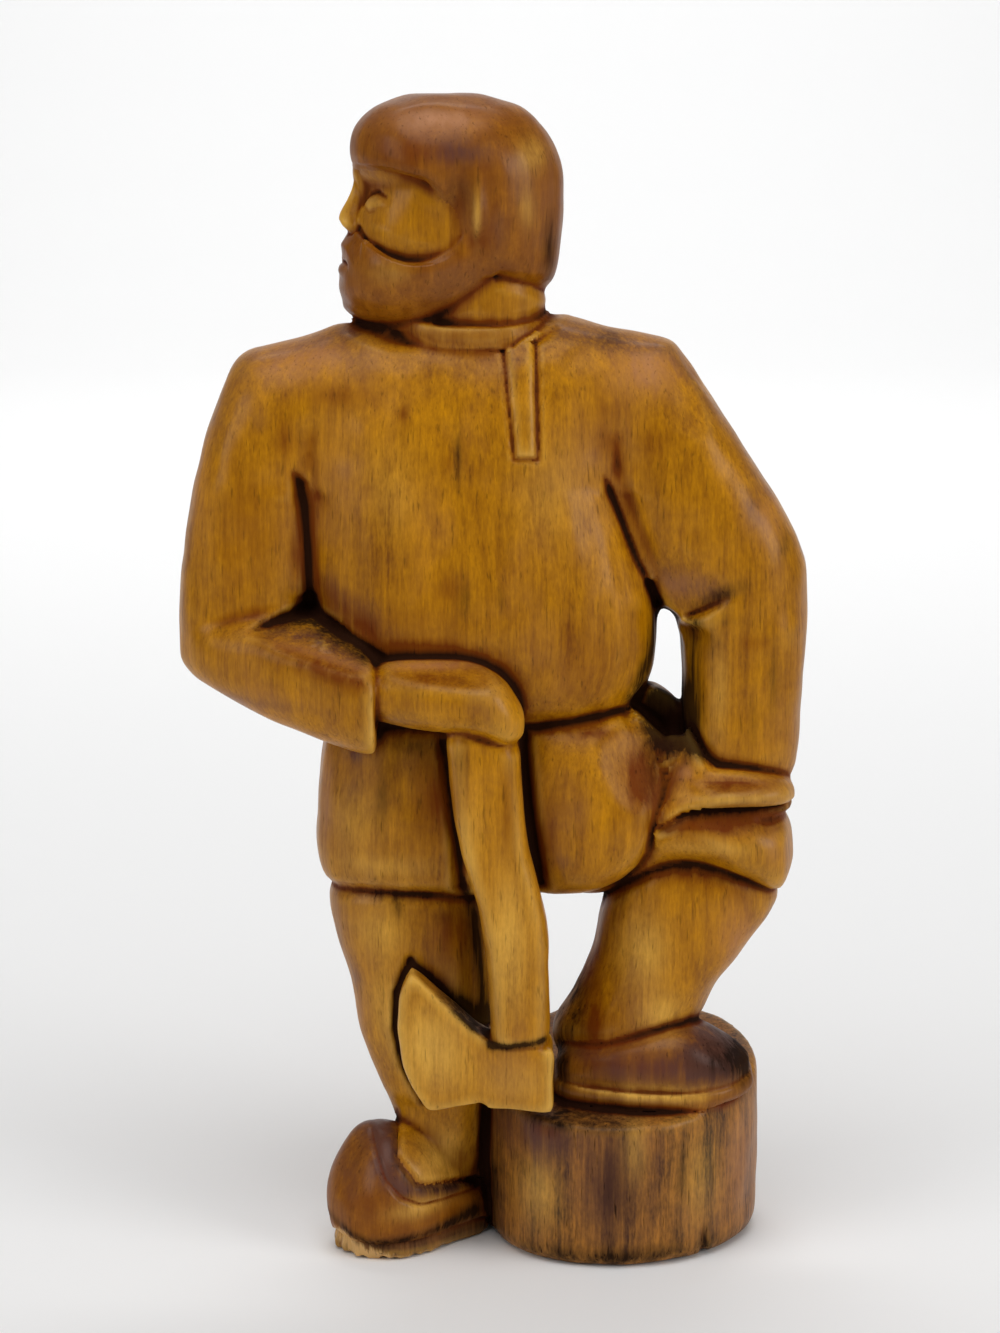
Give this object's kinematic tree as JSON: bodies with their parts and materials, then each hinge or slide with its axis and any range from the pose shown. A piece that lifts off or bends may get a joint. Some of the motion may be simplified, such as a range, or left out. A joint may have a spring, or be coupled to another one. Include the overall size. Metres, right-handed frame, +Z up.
{
  "type": "carved lumberjack figure",
  "caption": "Carved wooden figure of a bearded lumberjack in a tunic gathered at the waist, leaning on an axe with a boot raised on a tree stump; stands on its own base as an ornament.",
  "frame": {"origin": "middle of the bounding box, on the ground plane under the stump and the standing boot", "axes": "+X to the viewer's right, +Y away from the viewer, +Z up; the figure's chest faces -Y"},
  "size_m": [0.1659, 0.0808, 0.305],
  "materials": {
    "honey_wood": "stained honey brown, dark in the cuts, satin lacquer",
    "umber_wood": "stained red-brown, dark in the cuts, satin lacquer",
    "stump_wood": "streaky dark brown stain over upright grain, satin lacquer",
    "sole_wood": "dark stain, chipped to bare wood at the toe"
  },
  "bodies": {
    "root": {"stump": "stump_wood", "right_boot_sole": "sole_wood", "right_boot": "umber_wood", "right_leg": "honey_wood", "left_boot_sole": "umber_wood", "left_boot": "umber_wood", "left_shin": "honey_wood", "left_thigh": "honey_wood", "tunic_skirt": "honey_wood", "tunic_body": "honey_wood", "placket": "honey_wood", "collar": "honey_wood", "right_sleeve": "honey_wood", "right_hand": "honey_wood", "left_sleeve": "honey_wood", "left_hand": "honey_wood", "axe_handle": "honey_wood", "axe_head": "honey_wood", "neck": "honey_wood", "head": "honey_wood", "beard": "umber_wood", "hair": "umber_wood"}
  },
  "joints": []
}
